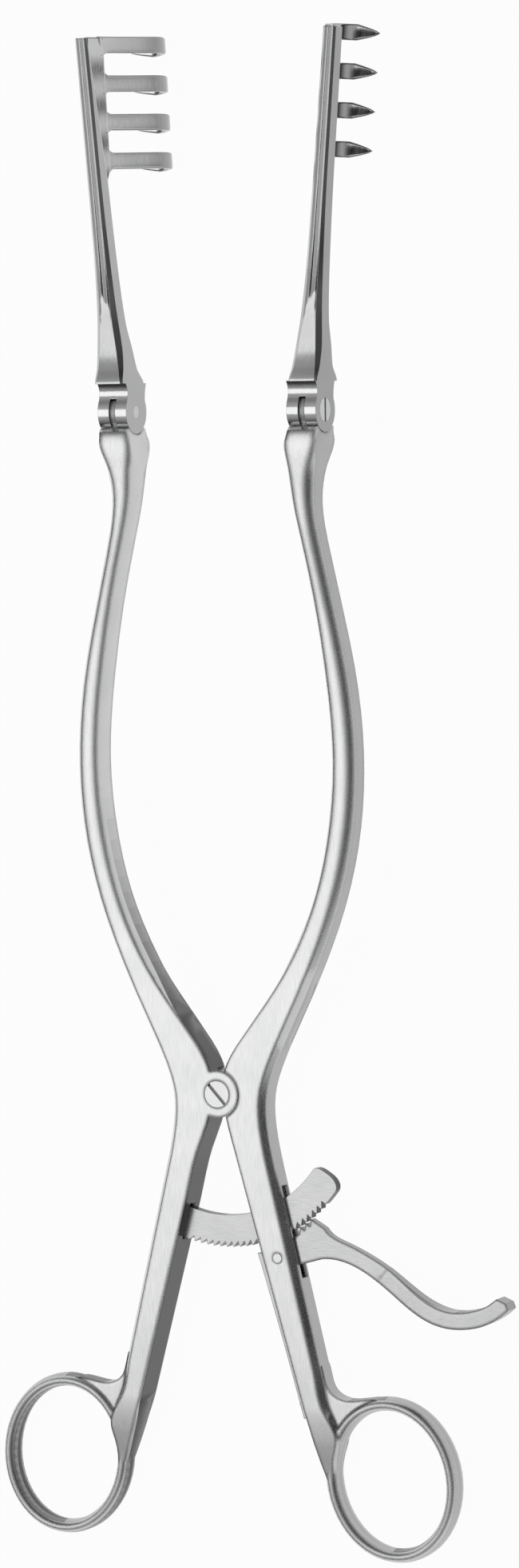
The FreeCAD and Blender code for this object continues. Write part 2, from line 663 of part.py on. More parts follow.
def comb(body, side):
    """The slanted comb plate with its row of hooked prongs."""
    reach = size("hinge_reach") + size("blade_reach")
    edge = blade_centre(size("blade_reach")) - size("bar_width") / 2
    top = size("bar_top") - 0.3

    def to_plane(point):
        return side * (edge - point[0]), top - point[1]

    plate = sketch_on(body, "Comb_plate_outline", "XZ_Plane", -reach)
    add_polygon(plate, [to_plane(point) for point in comb_plate_runs()])
    pad(body, "Comb_plate", plate, "Sizes.prong_pitch * (Sizes.prong_count - 1) + Sizes.prong_width + 3")
    outline = sketch_on(body, "Prong_outline", "XZ_Plane", -reach)
    add_curves(outline, [[to_plane(point) for point in run] for run in prong_outline(side)])
    prong = pad(body, "Prong", outline, "Sizes.prong_width")
    tips = tip_relief(body, side, reach, to_plane)
    rows = body.newObject("PartDesign::LinearPattern", "Prongs")
    rows.Originals = [prong] + tips
    rows.Direction = (outline, ["N_Axis"])
    rows.Reversed = False
    rows.setExpression("Length", "Sizes.prong_pitch * (Sizes.prong_count - 1)")
    rows.setExpression("Occurrences", "Sizes.prong_count")
    body.Tip = rows


def comb_plate_runs():
    slope = math.radians(size("comb_slope"))
    depth = size("comb_depth")
    plate = size("comb_thickness")
    down = (math.cos(slope) * depth, math.sin(slope) * depth)
    back = (-math.sin(slope) * plate, math.cos(slope) * plate)
    return [(0.0, 0.0), down, (down[0] + back[0], down[1] + back[1]), (-1.2, 1.6), (-1.2, 0.0)]


def tip_relief(body, side, reach, to_plane):
    """Two wedge cuts that sharpen a prong's tip seen from the front."""
    runs = prong_outline(side)
    tip = to_plane(runs[2][-1])
    start_x = tip[0] - side * size("tip_length")
    width = size("prong_width")
    depth = 2.6
    features = []
    for name, edge_y, middle_y in (("Tip_relief_far", reach, reach - width / 2),
                                   ("Tip_relief_near", reach - width, reach - width / 2)):
        wedge = sketch_on(body, f"{name}_outline", "XY_Plane", tip[1] + depth)
        grow = 0.4 if edge_y > middle_y else -0.4
        add_polygon(wedge, [(start_x, edge_y), (tip[0] + side * 0.1, middle_y), (tip[0] + side * 0.4, middle_y),
                            (tip[0] + side * 0.4, edge_y + grow), (start_x, edge_y + grow)])
        features.append(pocket(body, name, wedge, 2 * depth + 1.0))
    return features


def blade_arm(side):
    body = new_body("left_blade_arm" if side == LEFT else "right_blade_arm")
    blade_loft(body, side)
    blade_fork(body, side)
    comb(body, side)
    return body


def hinge_screw(side):
    """A slotted screw from the outer flank of the fork through the tongue to the inner flank."""
    body = new_body("left_hinge_screw" if side == LEFT else "right_hinge_screw")
    reach = size("hinge_reach")
    hinge = size("hinge_offset")
    half = size("knuckle_width") / 2
    head = size("hinge_head_height")
    shank_radius = size("hinge_screw_radius")
    outer = side * (hinge + half)
    inner = side * (hinge - half)
    under = side * (hinge + half - head)
    profile = sketch_on(body, "Profile", "XY_Plane", MID)
    add_polygon(profile, [(inner, reach), (inner, reach + shank_radius), (under, reach + shank_radius),
                          (under, reach + size("hinge_head_radius")), (outer, reach + size("hinge_head_radius")),
                          (outer, reach)])
    screw = body.newObject("PartDesign::Revolution", "Screw")
    screw.Profile = profile
    screw.ReferenceAxis = (profile, ["Edge6"])
    screw.Angle = 360
    slot = sketch_on(body, "Slot_outline", "YZ_Plane", outer)
    wide = size("screw_slot") / 2
    long_half = size("hinge_head_radius") + 0.5
    add_polygon(slot, [(reach - long_half, MID - wide), (reach + long_half, MID - wide),
                       (reach + long_half, MID + wide), (reach - long_half, MID + wide)])
    pocket(body, "Slot", slot, 0.5, backwards=side == LEFT)
    return body


def ratchet_bar():
    """A flat bar curved about the pivot, toothed on its outer edge, with a plain rounded free end."""
    body = new_body("ratchet_bar")
    inner = size("ratchet_inner")
    outer = size("ratchet_tip")
    start = -size("ratchet_start")
    end = size("ratchet_end")
    round_outer = end - 3.6
    round_inner = end - 1.8
    end_face = [polar(outer, round_outer), polar(outer - 0.5, end - 1.6), polar(outer - 2.2, end - 0.1),
                polar(inner + 2.5, end), polar(inner + 1.0, end - 0.4), polar(inner, round_inner)]
    outline = sketch_on(body, "Bar_outline", "XY_Plane", MID)
    outline.addGeometry(pivot_arc(outer, start, round_outer), False)
    add_curves(outline, [end_face])
    outline.addGeometry(pivot_arc(inner, start, round_inner), False)
    add_curves(outline, [[polar(inner, start), polar(outer, start)]])
    pad(body, "Bar", outline, "Sizes.ratchet_thickness", midplane=True)
    notch = sketch_on(body, "Notch_outline", "XY_Plane", MID)
    add_polygon(notch, tooth_notch(first_tooth(), size("ratchet_tip") + 0.6))
    first = pocket(body, "Notch", notch, size("ratchet_thickness") + 1, midplane=True)
    doc.recompute()
    count = tooth_count()
    teeth = body.newObject("PartDesign::PolarPattern", "Teeth")
    teeth.Originals = [first]
    teeth.Axis = (notch, ["N_Axis"])
    teeth.Angle = size("tooth_angle") * (count - 1)
    teeth.Occurrences = count
    body.Tip = teeth
    pins = sketch_on(body, "Pin_holes_outline", "XY_Plane", MID)
    for x, y in ratchet_pin_places():
        add_circle(pins, x, y, "pin_radius")
    pocket(body, "Pin_holes", pins, size("ratchet_thickness") + 1, midplane=True)
    return body


def polar(radius, degrees):
    """A point about the pivot axis, its angle counted from straight down to the right."""
    turn = math.radians(degrees)
    return radius * math.sin(turn), -radius * math.cos(turn)


def pivot_arc(radius, first, last):
    circle = Part.Circle(FreeCAD.Vector(0, 0, 0), FreeCAD.Vector(0, 0, 1), radius)
    return Part.ArcOfCircle(circle, math.radians(first - 90), math.radians(last - 90))


def tooth_count():
    return int((size("ratchet_start") - 8.0 + size("teeth_end")) / size("tooth_angle"))


def first_tooth():
    return size("teeth_end") - tooth_count() * size("tooth_angle")


def tooth_notch(angle, reach):
    """A saw tooth gap at the bar's outer edge: a long slope, then a steep flank towards the free end."""
    tip = size("ratchet_tip")
    root = tip - size("tooth_height")
    pitch = size("tooth_angle")
    return [polar(tip, angle + pitch * 0.06), polar(root, angle + pitch * 0.76),
            polar(reach, angle + pitch * 1.02), polar(reach, angle + pitch * 0.06)]


def ratchet_pins():
    cylinders = []
    for index, (x, y) in enumerate(ratchet_pin_places()):
        pin = doc.addObject("Part::Cylinder", f"Ratchet_pin_{index + 1}")
        pin.setExpression("Radius", "Sizes.pin_radius")
        pin.Height = MID + size("ratchet_thickness") / 2 + 1.0
        pin.Placement.Base = FreeCAD.Vector(x, y, 0)
        cylinders.append(pin)
    group = doc.addObject("Part::Compound", "ratchet_pins")
    group.Links = cylinders
    group.Label = "ratchet_pins"
    return group


def lever_pin():
    pin = doc.addObject("Part::Cylinder", "lever_pin")
    pin.Label = "lever_pin"
    pin.setExpression("Radius", "Sizes.pin_radius")
    pin.setExpression("Height", "Sizes.arm_thickness")
    pin.Placement.Base = FreeCAD.Vector(size("lever_pin_x"), -size("lever_pin_y"), 0)
    return pin


def release_lever():
    """Lever on its pin in the right shank: toothed head, tail for the spring and curved thumb piece."""
    body = new_body("release_lever")
    pin_x = size("lever_pin_x")
    pin_y = -size("lever_pin_y")
    tip = size("ratchet_tip") + size("mesh_gap")
    root = tip + size("tooth_height")
    pitch = size("tooth_angle")
    start = first_tooth() + pitch * math.ceil((30.5 - first_tooth()) / pitch)
    face = [polar(root, start + pitch * 0.1)]
    for tooth in range(3):
        angle = start + tooth * pitch
        face += [polar(tip, angle + pitch * 0.76), polar(root, angle + pitch * 1.06)]
    top = [(22.9, -26.9), (24.6, -28.5), (27.2, -29.6), (32.6, -31.9), (37.9, -34.9), (42.9, -38.6), (48.0, -41.5)]
    low = [(48.0, -45.2), (44.4, -43.7), (38.8, -40.1), (33.5, -36.4), (28.1, -33.8), (22.4, -33.2)]
    heel = [(pin_x + x, pin_y + y) for x, y in (
        (2.6, -1.9), (0.5, -2.6), (-1.2, -2.8), (-2.4, -2.4), (-2.9, -1.6), (-2.6, -0.5), (-1.0, 1.3))]
    head = sketch_on(body, "Head_outline", "XY_Plane", MID)
    teeth = [list(pair) for pair in zip(face, face[1:])]
    add_curves(head, teeth + [[face[-1], top[0]], top, [top[-1], low[0]], low,
                              [low[-1], heel[0]], heel, [heel[-1], face[0]]])
    pad(body, "Head", head, "Sizes.lever_thickness", midplane=True)
    thumb = sketch_on(body, "Thumb_outline", "XY_Plane", MID)
    top_edge = [(37.0, -34.3), (40.3, -36.7), (45.6, -40.4), (50.9, -42.2), (56.2, -41.7), (60.2, -40.2)]
    pad_end = [(60.2, -40.2), (62.2, -38.9), (64.6, -39.7), (65.2, -41.0), (64.0, -42.0)]
    low_edge = [(64.0, -42.0), (60.4, -44.0), (55.0, -45.5), (49.8, -45.5), (44.4, -43.7), (38.8, -40.1), (34.6, -37.1)]
    add_curves(thumb, [top_edge, pad_end[:2], pad_end[1:3], pad_end[2:4], pad_end[3:], low_edge,
                       [low_edge[-1], top_edge[0]]])
    pad(body, "Thumb", thumb, "Sizes.thumb_thickness", midplane=True)
    bore = sketch_on(body, "Pin_bore_outline", "XY_Plane", MID)
    add_circle(bore, pin_x, pin_y, "pin_radius", " + Sizes.running_clearance")
    pocket(body, "Pin_bore", bore, "Sizes.lever_thickness + 1", midplane=True)
    return body


def leaf_spring():
    """A thin leaf along the inner side of the right shank that presses on the lever's tail."""
    body = new_body("leaf_spring")
    thick = size("spring_thickness")
    foot = size("spring_foot")
    top = size("lever_pin_y") - 0.6
    drops = [foot, foot - 8.0, foot - 16.0, size("slot_bottom") + 2.0, top + 1.6, top]
    spaces = [0.1, 0.1, 0.16, 0.38, 0.54, 0.62]
    right_edge = [(shank_inner(RIGHT, drop) - space, -drop) for drop, space in zip(drops, spaces)]
    left_edge = [(x - thick, y) for x, y in reversed(right_edge)]
    outline = sketch_on(body, "Leaf_outline", "XY_Plane", MID)
    add_curves(outline, [right_edge, [right_edge[-1], left_edge[0]], left_edge, [left_edge[-1], right_edge[0]]])
    pad(body, "Leaf", outline, "Sizes.spring_width", midplane=True)
    screw_hole(body, "spring_screw_radius")
    return body


def screw_hole(body, radius_name):
    """The hole of the leaf spring's screw, square to the shank's inner side."""
    x, y, angle = spring_screw_place()
    hole = sketch_on(body, "Spring_screw_hole_outline", "YZ_Plane")
    hole.AttachmentOffset = FreeCAD.Placement(
        FreeCAD.Vector(y, MID, x), FreeCAD.Rotation(FreeCAD.Vector(0, 1, 0), angle))
    add_circle(hole, 0, 0, radius_name)
    pocket(body, "Spring_screw_hole", hole, 2 * size("spring_screw_depth"), midplane=True)


def spring_screw_place():
    """Where the screw crosses the shank's inner side, and how far it leans towards +Y in degrees."""
    drop = size("spring_foot") - 3.0
    angle = math.degrees(math.atan(shank_inner(RIGHT, drop + 1) - shank_inner(RIGHT, drop)))
    return shank_inner(RIGHT, drop) - 0.1, -drop, angle


def leaf_spring_screw():
    """A low round-headed screw through the foot of the leaf spring into the shank."""
    body = new_body("leaf_spring_screw")
    x, y, angle = spring_screw_place()
    thick = size("spring_thickness") / math.cos(math.radians(angle)) - 0.02
    shank = size("spring_screw_radius")
    head = size("spring_head_radius")
    height = size("spring_head_height")
    profile = sketch_on(body, "Profile", "XZ_Plane")
    add_polygon(profile, [(0, -size("spring_screw_depth") + 0.3), (shank, -size("spring_screw_depth") + 0.3),
                          (shank, thick), (head, thick), (head, thick + height * 0.6),
                          (head - 0.4, thick + height), (0, thick + height)])
    screw = body.newObject("PartDesign::Revolution", "Screw")
    screw.Profile = profile
    screw.ReferenceAxis = (profile, ["V_Axis"])
    screw.Angle = 360
    slot = sketch_on(body, "Slot_outline", "XY_Plane", thick + height)
    wide = size("screw_slot") / 3
    add_polygon(slot, [(-head - 0.2, -wide), (head + 0.2, -wide), (head + 0.2, wide), (-head - 0.2, wide)])
    pocket(body, "Slot", slot, 0.35)
    towards_middle = FreeCAD.Vector(-math.cos(math.radians(angle)), -math.sin(math.radians(angle)), 0)
    body.Placement = FreeCAD.Placement(
        FreeCAD.Vector(x, y, MID), FreeCAD.Rotation(FreeCAD.Vector(0, 0, 1), towards_middle))
    return body


def check_and_export(parts):
    doc.recompute()
    broken = [item.Name for item in doc.Objects if "Invalid" in item.State or "Error" in item.State]
    if broken:
        raise RuntimeError(f"failed objects: {broken}")
    os.makedirs("parts", exist_ok=True)
    for part in parts:
        shape = part.Shape
        if shape.isNull() or not shape.isValid():
            raise RuntimeError(f"bad shape: {part.Label}")
        shape.exportStep(f"parts/{part.Label}.step")
        print(part.Label, len(shape.Solids), round(shape.Volume, 2), shape.BoundBox)


check_and_export([
    left_handle_arm(), right_handle_arm(), pivot_screw(), blade_arm(LEFT), blade_arm(RIGHT),
    hinge_screw(LEFT), hinge_screw(RIGHT), ratchet_bar(), ratchet_pins(), lever_pin(),
    release_lever(), leaf_spring(), leaf_spring_screw(),
])
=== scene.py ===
# %% [markdown]
# # A self retaining retractor in polished steel
# The frame holds the measured pieces: two ring-handled arms that cross in a lap joint, a toothed
# bar with a sprung lever, and two hinged blades with hooked prongs. This lesson dresses them with
# steel that looks ground and polished, a pale floor, soft studio light and a camera that stands
# where the photographer stood. The measured pieces come first, because every new piece rides on
# one of their bodies.

import math

import bmesh
import bpy
from mathutils import Matrix, Vector
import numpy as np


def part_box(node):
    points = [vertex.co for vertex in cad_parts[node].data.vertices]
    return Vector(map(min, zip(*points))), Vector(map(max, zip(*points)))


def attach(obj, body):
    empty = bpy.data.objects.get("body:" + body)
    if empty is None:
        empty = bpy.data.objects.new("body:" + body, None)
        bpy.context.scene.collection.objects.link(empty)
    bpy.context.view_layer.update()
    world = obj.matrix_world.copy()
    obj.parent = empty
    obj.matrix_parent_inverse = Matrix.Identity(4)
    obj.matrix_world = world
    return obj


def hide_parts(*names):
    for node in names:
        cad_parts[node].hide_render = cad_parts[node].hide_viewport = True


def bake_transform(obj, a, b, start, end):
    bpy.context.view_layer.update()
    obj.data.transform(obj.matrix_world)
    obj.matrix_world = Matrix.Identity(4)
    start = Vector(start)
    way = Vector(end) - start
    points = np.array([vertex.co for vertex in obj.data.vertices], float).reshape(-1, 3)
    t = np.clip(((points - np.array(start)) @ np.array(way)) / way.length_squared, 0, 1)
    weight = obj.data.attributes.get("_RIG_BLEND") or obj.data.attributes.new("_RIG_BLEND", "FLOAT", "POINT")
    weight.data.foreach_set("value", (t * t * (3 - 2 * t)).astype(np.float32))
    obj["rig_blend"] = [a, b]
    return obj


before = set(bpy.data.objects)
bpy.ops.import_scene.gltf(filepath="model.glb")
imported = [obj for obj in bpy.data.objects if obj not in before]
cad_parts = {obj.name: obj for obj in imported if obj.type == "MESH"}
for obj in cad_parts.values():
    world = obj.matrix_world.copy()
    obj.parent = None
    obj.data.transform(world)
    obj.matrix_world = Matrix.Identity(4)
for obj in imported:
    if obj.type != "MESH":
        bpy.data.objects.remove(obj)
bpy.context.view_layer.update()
MM = 0.001
LEFT, RIGHT = -1, 1
print("nodes:", sorted(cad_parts))


# %% [markdown]
# Every piece of the instrument is stainless steel, ground to a satin sheen and then polished
# along its length. Up close such a surface has very fine scratches that run the long way, and a
# slow change of tone where the wheel pressed harder. Painting them would tie them to one view, so
# a metal shader with a noise that is stretched along the piece gives both. The noise also changes
# the roughness a little, because a scratch scatters more light than the steel beside it.

# %% A node with its sockets set
def add_node(tree, kind, values=None):
    node = tree.nodes.new(kind)
    for socket, value in (values or {}).items():
        node.inputs[socket].default_value = value
    return node


# %% The scratches of the grinding belt
GRAIN_SCALE = 7000.0
NOISE_DETAIL = 3.0
NOISE_LOW, NOISE_HIGH = 0.3, 0.7
RUB = 0.05


def add_grain(tree, place, shader, along, roughness):
    stretch = add_node(tree, "ShaderNodeMapping", {"Scale": along})
    grain = add_node(tree, "ShaderNodeTexNoise", {"Scale": GRAIN_SCALE, "Detail": NOISE_DETAIL})
    rub = add_node(tree, "ShaderNodeMapRange", {
        "From Min": NOISE_LOW, "From Max": NOISE_HIGH,
        "To Min": roughness - RUB, "To Max": roughness + RUB,
    })
    tree.links.new(place.outputs["Object"], stretch.inputs["Vector"])
    tree.links.new(stretch.outputs["Vector"], grain.inputs["Vector"])
    tree.links.new(grain.outputs["Fac"], rub.inputs["Value"])
    tree.links.new(rub.outputs["Result"], shader.inputs["Roughness"])
    return grain


print("scratches repeat about", round(1 / GRAIN_SCALE / MM, 2), "mm apart")

# %% [markdown]
# The sides that face each other, and some other places, get painted shade: their colour is
# darkened to stand in for the dark surroundings that they mirror. That could be a second material,
# but then its border would be hard. Here each face carries a number, from 0 for no painted shade to
# 1 for the most, and the colour goes from the clouded tone towards a dark one by that share.

# %% The clouded tone, with painted shade on some sides
CLOUD_SCALE = 140.0
DARK_TINT = (0.93, 0.935, 0.94)
BRIGHT_TINT = (1.0, 1.0, 1.005)
# The dull tint is painted shade.
PAINTED_SHADE_TINT = (0.10, 0.10, 0.105)


def tinted(tone, tint):
    return (*(tone * share for share in tint), 1)


def add_tone(tree, place, shader, tone):
    clouds = add_node(tree, "ShaderNodeTexNoise", {"Scale": CLOUD_SCALE, "Detail": NOISE_DETAIL})
    tint = tree.nodes.new("ShaderNodeValToRGB")
    dark, bright = tint.color_ramp.elements
    dark.position = NOISE_LOW
    dark.color = tinted(tone, DARK_TINT)
    bright.position = NOISE_HIGH
    bright.color = tinted(tone, BRIGHT_TINT)
    # The face attribute says how much painted shade a face gets, and the dull tint is mixed in by it.
    flank = tree.nodes.new("ShaderNodeAttribute")
    flank.attribute_name = "flank"
    shade = add_node(tree, "ShaderNodeMixRGB", {"Color2": tinted(tone, PAINTED_SHADE_TINT)})
    tree.links.new(place.outputs["Object"], clouds.inputs["Vector"])
    tree.links.new(clouds.outputs["Fac"], tint.inputs["Fac"])
    tree.links.new(flank.outputs["Fac"], shade.inputs["Fac"])
    tree.links.new(tint.outputs["Color"], shade.inputs["Color1"])
    tree.links.new(shade.outputs["Color"], shader.inputs["Base Color"])


print("clouds are about", round(1 / CLOUD_SCALE / MM, 1), "mm wide")

# %% [markdown]
# A forged edge is never knife sharp, and its thin round catches the bright line that every
# polished edge shows. Rounding the mesh everywhere would cost many faces, so the Bevel node
# rounds only the shading: by a tenth or two of a millimetre on the blades and small pieces, nearly
# one on the lever, and one to two on the arms, which are rounder towards the hinges than at the
# lap joint. The grain then goes on top as a very low bump.

# %% The softened edges
EDGE_SAMPLES = 6
SOFTER_FROM, SOFTER_TO = 15 * MM, 55 * MM
SCRATCH_DEPTH = 0.003 * MM
SCRATCH_STRENGTH = 0.2


def add_edges(tree, place, shader, grain, edge, far_edge):
    edges = add_node(tree, "ShaderNodeBevel", {"Radius": edge})
    edges.samples = EDGE_SAMPLES
    if far_edge:
        split = tree.nodes.new("ShaderNodeSeparateXYZ")
        softer = add_node(tree, "ShaderNodeMapRange", {
            "From Min": SOFTER_FROM, "From Max": SOFTER_TO, "To Min": edge, "To Max": far_edge,
        })
        softer.interpolation_type = "SMOOTHSTEP"
        tree.links.new(place.outputs["Object"], split.inputs["Vector"])
        tree.links.new(split.outputs["Y"], softer.inputs["Value"])
        tree.links.new(softer.outputs["Result"], edges.inputs["Radius"])
    bump = add_node(tree, "ShaderNodeBump", {
        "Strength": SCRATCH_STRENGTH, "Distance": SCRATCH_DEPTH,
    })
    tree.links.new(grain.outputs["Fac"], bump.inputs["Height"])
    tree.links.new(edges.outputs["Normal"], bump.inputs["Normal"])
    tree.links.new(bump.outputs["Normal"], shader.inputs["Normal"])


# %% The six steels
LENGTHWISE = (1.0, 0.04, 1.0)
CROSSWISE = (0.05, 1.0, 1.0)
ALONG_LEVER = (0.06, 1.0, 1.0)
ALL_ROUND = (1.0, 1.0, 1.0)


def steel(name, tone, roughness, along, edge, far_edge=None):
    material = bpy.data.materials.new(name)
    material.use_nodes = True
    tree = material.node_tree
    shader = tree.nodes["Principled BSDF"]
    shader.inputs["Metallic"].default_value = 1.0
    place = tree.nodes.new("ShaderNodeTexCoord")
    grain = add_grain(tree, place, shader, along, roughness)
    add_tone(tree, place, shader, tone)
    add_edges(tree, place, shader, grain, edge, far_edge)
    return material


arm_steel = steel("satin_arm_steel", 0.60, 0.25, LENGTHWISE, 1.0 * MM, 2.0 * MM)
blade_steel = steel("polished_blade_steel", 0.60, 0.15, LENGTHWISE, 0.1 * MM)
ratchet_steel = steel("satin_ratchet_steel", 0.52, 0.28, CROSSWISE, 0.2 * MM)
lever_steel = steel("satin_lever_steel", 0.48, 0.24, ALONG_LEVER, 0.9 * MM)
spring_steel = steel("spring_leaf_steel", 0.45, 0.22, LENGTHWISE, 0.2 * MM)
screw_steel = steel("turned_screw_steel", 0.56, 0.20, ALL_ROUND, 0.1 * MM)
print("steels:", [material.name for material in bpy.data.materials])

# %% Each measured piece gets its steel
finishes = {
    "left_handle_arm": arm_steel, "right_handle_arm": arm_steel,
    "left_blade_arm": blade_steel, "right_blade_arm": blade_steel,
    "ratchet_bar": ratchet_steel, "release_lever": lever_steel, "leaf_spring": spring_steel,
}
for node_name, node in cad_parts.items():
    node.data.materials.clear()
    node.data.materials.append(finishes.get(node_name, screw_steel))
print("pieces in screw steel:", sorted(set(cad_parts) - set(finishes)))


# %% [markdown]
# A measured piece comes as loose triangles, and each triangle shades flat. On the real arms the
# slopes run smooth from the hinge to the ring and break only at the ground edges. A merged copy
# can show that: with its doubles merged, a face is smooth towards a neighbour that turns by less
# than a set angle and sharp beyond it. The copy then stands for the measured piece, which stays
# as it is.

# %% A merged copy with smooth slopes and true edges
SAME_POINT = 0.002 * MM
SHARP_TURN = math.radians(33)


def merged_copy(node_name):
    forging = bmesh.new()
    forging.from_mesh(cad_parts[node_name].data)
    bmesh.ops.remove_doubles(forging, verts=forging.verts, dist=SAME_POINT)
    return forging


def set_edges(forging):
    for face in forging.faces:
        face.smooth = True
    for edge in forging.edges:
        edge.smooth = len(edge.link_faces) == 2 and edge.calc_face_angle(0.0) < SHARP_TURN


print("edges are sharp from a turn of", round(math.degrees(SHARP_TURN)), "degrees")

# %% Which sides get painted shade
UPRIGHT_FROM, UPRIGHT_FADE = 0.45, 0.25
JOINT_FADE_START, JOINT_FADE_END = 15 * MM, 60 * MM


def clamp(share):
    return min(1.0, max(0.0, share))


def mark_flanks(forging, side, inner, outer, fades=False):
    """The inner sides face the other arm and get painted shade. Where it fades, it is darkest round
    the lap joint and on the shanks, and it fades out towards the hinges."""
    layer = forging.faces.layers.float.new("flank")
    for face in forging.faces:
        upright = clamp((UPRIGHT_FROM - abs(face.normal.z)) / UPRIGHT_FADE)
        inward = -side * face.normal.x > 0
        share = inner if inward else outer
        if inward and fades:
            to_joint = JOINT_FADE_END - face.calc_center_median().y
            share *= clamp(to_joint / (JOINT_FADE_END - JOINT_FADE_START))
        face[layer] = upright * share


# Sides that turn this far from the front get painted shade.
print("sides are dull from a turn of", round(math.degrees(math.acos(UPRIGHT_FROM))), "degrees")


# %% From a finished forging to a piece
def make_piece(forging, name, material):
    mesh = bpy.data.meshes.new(name)
    forging.to_mesh(mesh)
    forging.free()
    mesh.materials.append(material)
    piece = bpy.data.objects.new(name, mesh)
    bpy.context.scene.collection.objects.link(piece)
    print(name, len(mesh.polygons), "faces")
    return piece


def ride_for(piece, body, node_name):
    """The piece rides on the body and stands for the measured piece."""
    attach(piece, body)
    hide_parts(node_name)


# %% [markdown]
# The lever is thin where it runs in the slot and thick where the thumb presses. A lever is forged
# from one blank, so the thickness swells gently along the stem and has no step. It could be drawn
# anew, but the measured outline is right already. So the merged copy is cut across every
# millimetre, and each cut is squeezed to the thickness that belongs to it.

# %% A cut across a whole piece
ACROSS_X, ACROSS_Y = Vector((1, 0, 0)), Vector((0, 1, 0))
CUT_REACH = 1e-7


def cut_across(forging, direction, distance, clear_outer=False):
    bmesh.ops.bisect_plane(
        forging, geom=forging.verts[:] + forging.edges[:] + forging.faces[:], dist=CUT_REACH,
        plane_co=direction * distance, plane_no=direction, clear_outer=clear_outer)


# %% The swelling stem of the lever
STEM_START, STEM_END = 35 * MM, 50 * MM
STEM_CUTS = 16
FIRST_CUT = 0.6 * MM
MIDDLE_Z = 3.7 * MM
CORE = 1.05 * MM
THIN_SHARE, THICK_SHARE = 0.401, 0.8
PAD_START, PAD_SHARE = 58 * MM, 0.86
SEAM_BEFORE, SEAM_AFTER = 1.5 * MM, 2 * MM
SEAM_POINT = 0.03 * MM


def swell_stem(forging):
    for step in range(STEM_CUTS):
        way = (STEM_END - STEM_START) * step / (STEM_CUTS - 1)
        cut_across(forging, ACROSS_X, STEM_START + FIRST_CUT + way)
    for vert in forging.verts:
        rise = vert.co.z - MIDDLE_Z
        if abs(rise) > CORE:
            way = clamp((vert.co.x - STEM_START) / (STEM_END - STEM_START))
            way = way * way * (3 - 2 * way)  # starts and ends gently
            vert.co.z = MIDDLE_Z + rise * (THIN_SHARE + (THICK_SHARE - THIN_SHARE) * way)
        if vert.co.x > PAD_START:
            vert.co.x = PAD_START + (vert.co.x - PAD_START) * PAD_SHARE
    seam = [vert for vert in forging.verts
            if STEM_START - SEAM_BEFORE < vert.co.x < STEM_START + SEAM_AFTER]
    bmesh.ops.remove_doubles(forging, verts=seam, dist=SEAM_POINT)
    print("lever stem swells over", round((STEM_END - STEM_START) / MM), "mm")


# %% [markdown]
# Each arm ends below its hinge in a shoulder. Its front edge is ground to a small slope, so that
# the folded blade doesn't hit a sharp corner. In the light that slope is a dark strip between two
# bright lines, which the shading alone can't give, so the edge is bevelled in the mesh. The
# coplanar triangles are dissolved first, because a bevel needs the whole edge.

# %% The sloped shoulder below the hinge
SHOULDER_SLOPE = 1.1 * MM
SHOULDER_FROM_Y, SHOULDER_FROM_Z = 128 * MM, 6 * MM
FLAT_TURN = math.radians(0.5)
FRONT_FACING, UP_FACING = 0.9, 0.8


def on_shoulder(edge):
    if len(edge.link_faces) != 2 or min(vert.co.y for vert in edge.verts) < SHOULDER_FROM_Y:
        return False
    normals = [face.normal for face in edge.link_faces]
    return (max(normal.z for normal in normals) > FRONT_FACING
            and max(normal.y for normal in normals) > UP_FACING
            and min(vert.co.z for vert in edge.verts) > SHOULDER_FROM_Z)


def slope_shoulder(forging):
    bmesh.ops.dissolve_limit(
        forging, angle_limit=FLAT_TURN, verts=forging.verts, edges=forging.edges)
    shoulder = [edge for edge in forging.edges if on_shoulder(edge)]
    bmesh.ops.bevel(forging, geom=shoulder, offset=SHOULDER_SLOPE, offset_type="OFFSET", segments=1,
                    profile=0.5, affect="EDGES", material=-1)
    bmesh.ops.triangulate(forging, faces=[face for face in forging.faces if len(face.verts) > 4])
    print("shoulder edges:", len(shoulder))


# %% The arms, the ratchet, the lever and the screws
# Shares of painted shade on the inner and outer sides of the arms, the ratchet and the lever.
ARM_INNER_SHADE, ARM_OUTER_SHADE = 0.95, 0.35
plain_pieces = [
    ("left_handle_arm", "left_handle", "arm_steel"),
    ("right_handle_arm", "right_handle", "arm_steel"),
    ("ratchet_bar", "left_handle", "ratchet_steel"),
    ("release_lever", "lever", "lever_steel"),
    ("leaf_spring_screw", "right_handle", "screw_steel"),
    ("pivot_screw", "right_handle", "screw_steel"),
    ("left_hinge_screw", "left_blade", "screw_steel"),
    ("right_hinge_screw", "right_blade", "screw_steel"),
]
for node_name, body, slot in plain_pieces:
    forging = merged_copy(node_name)
    if node_name == "release_lever":
        swell_stem(forging)
    if node_name.endswith("handle_arm"):
        slope_shoulder(forging)
    set_edges(forging)
    # Every piece but the screws gets painted shade on its sides.
    if "screw" not in node_name:
        mark_flanks(forging, LEFT if body == "left_handle" else RIGHT, ARM_INNER_SHADE, ARM_OUTER_SHADE, True)
    piece = make_piece(forging, node_name + "_ground", finishes.get(node_name, screw_steel))
    ride_for(piece, body, node_name)


# %% [markdown]
# The leaf spring is a strip that is screwed to the shank at its foot and pushes the lever's tail
# at its tip. When the lever turns, the foot stays and the tip follows, so the strip bends in
# between. A strip bends smoothly only where it has enough cross cuts, so it is cut every
# millimetre first.

# %% The leaf spring, cut across so that it can bend
LEAF_CUTS = 26
LEAF_FIRST_CUT = -60.5
# The leaf spring's sides get this much painted shade.
LEAF_SHADE = 0.8
LEAF_FOOT = Vector((15.0, -60.0, 3.7)) * MM
LEAF_TIP = Vector((9.5, -36.0, 3.7)) * MM

